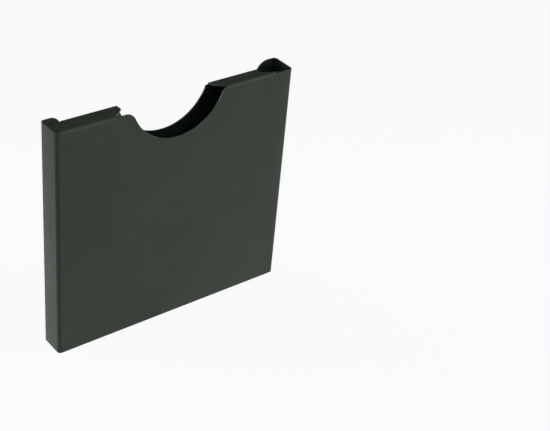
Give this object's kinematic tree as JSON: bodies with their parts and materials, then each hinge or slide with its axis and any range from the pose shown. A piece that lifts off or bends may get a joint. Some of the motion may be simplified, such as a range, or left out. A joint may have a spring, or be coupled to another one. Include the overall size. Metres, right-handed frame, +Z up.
{
  "type": "disposable glove dispenser",
  "caption": "Flat case folded from one dark painted sheet: open at one end, with two inward tabs and a round finger cut-out at the other; holds a flat pack of disposable gloves.",
  "frame": {"origin": "middle of the footprint, on the open rim that the case stands on", "axes": "+X to the right along the width, +Y from the front panel to the back panel, +Z up from the open rim to the end with the cut-out"},
  "size_m": [0.28, 0.0306, 0.261],
  "materials": {
    "sheet": "dark grey satin paint"
  },
  "bodies": {
    "root": {"case": "sheet"}
  },
  "joints": []
}
